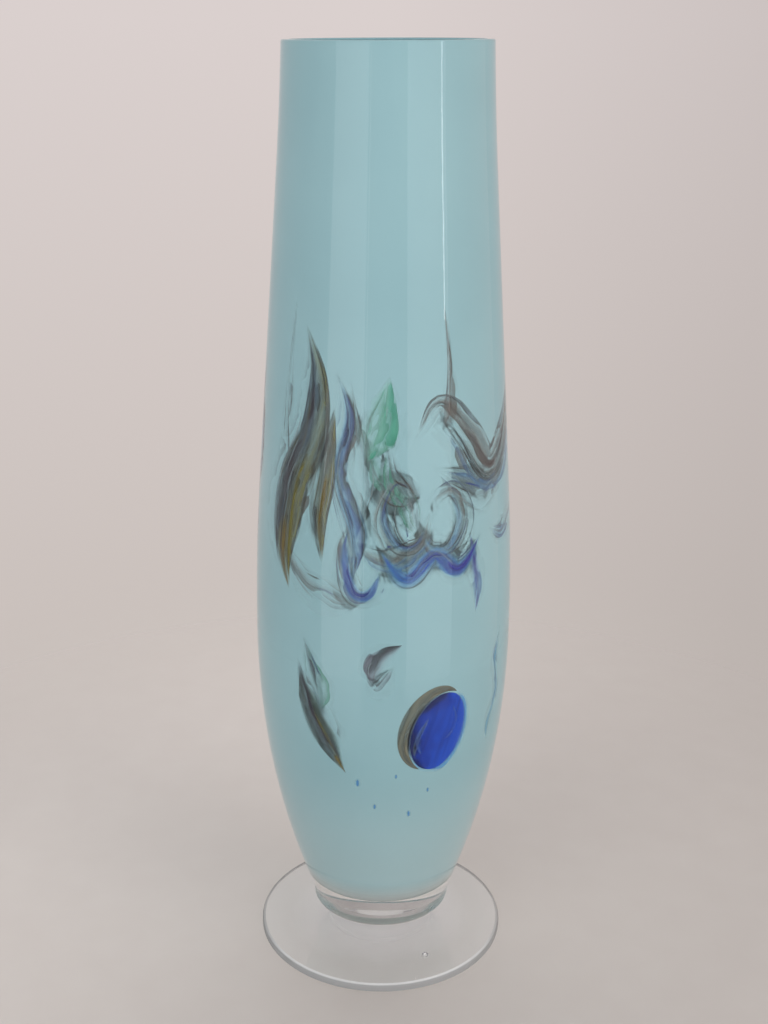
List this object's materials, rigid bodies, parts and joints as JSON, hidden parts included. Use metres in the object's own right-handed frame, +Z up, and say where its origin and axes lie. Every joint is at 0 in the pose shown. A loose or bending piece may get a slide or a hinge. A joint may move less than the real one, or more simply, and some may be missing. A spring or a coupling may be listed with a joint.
{
  "type": "glass vase",
  "caption": "Tall footed glass vase: aqua opal bubble cased in clear glass, coloured trails between the layers, thick clear base on a short stem and a thin round foot.",
  "frame": {"origin": "centre of the foot on the surface that the vase stands on", "axes": "+Z up along the axis of the vase, -Y towards the front of the decoration"},
  "size_m": [0.093, 0.093, 0.33],
  "materials": {
    "aqua_opal": "opal white glass tinted pale aqua, smooth",
    "clear_glass": "clear glass, fire-polished",
    "foot_glass": "clear glass with a few seeds, fire-polished, ground underneath",
    "amber_glass": "olive amber glass with dark streaks",
    "ink_glass": "blue-black glass",
    "emerald_glass": "soft emerald glass",
    "taupe_glass": "smoky brown-grey glass",
    "cobalt_glass": "cobalt blue glass",
    "khaki_glass": "khaki grey glass",
    "smoke_glass": "thin denim-blue smoke",
    "forest_glass": "dark green glass with yellow-olive streaks",
    "aubergine_glass": "dark aubergine glass fading to lilac",
    "turquoise_glass": "turquoise blue glass thread"
  },
  "bodies": {
    "root": {"opal_lining": "aqua_opal", "clear_casing": "clear_glass", "foot": "foot_glass", "amber_plume": "amber_glass", "rear_amber_plume": "amber_glass", "ink_ribbon": "ink_glass", "rear_ink_ribbon": "ink_glass", "emerald_leaf": "emerald_glass", "rear_emerald_leaf": "emerald_glass", "taupe_wave": "taupe_glass", "rear_taupe_wave": "taupe_glass", "cobalt_ripple": "cobalt_glass", "rear_cobalt_ripple": "cobalt_glass", "cobalt_bead": "cobalt_glass", "rear_cobalt_bead": "cobalt_glass", "blue_flecks": "cobalt_glass", "khaki_crescent": "khaki_glass", "smoke_haze": "smoke_glass", "forest_streak": "forest_glass", "rear_forest_streak": "forest_glass", "aubergine_comma": "aubergine_glass", "turquoise_trail": "turquoise_glass"}
  },
  "joints": []
}
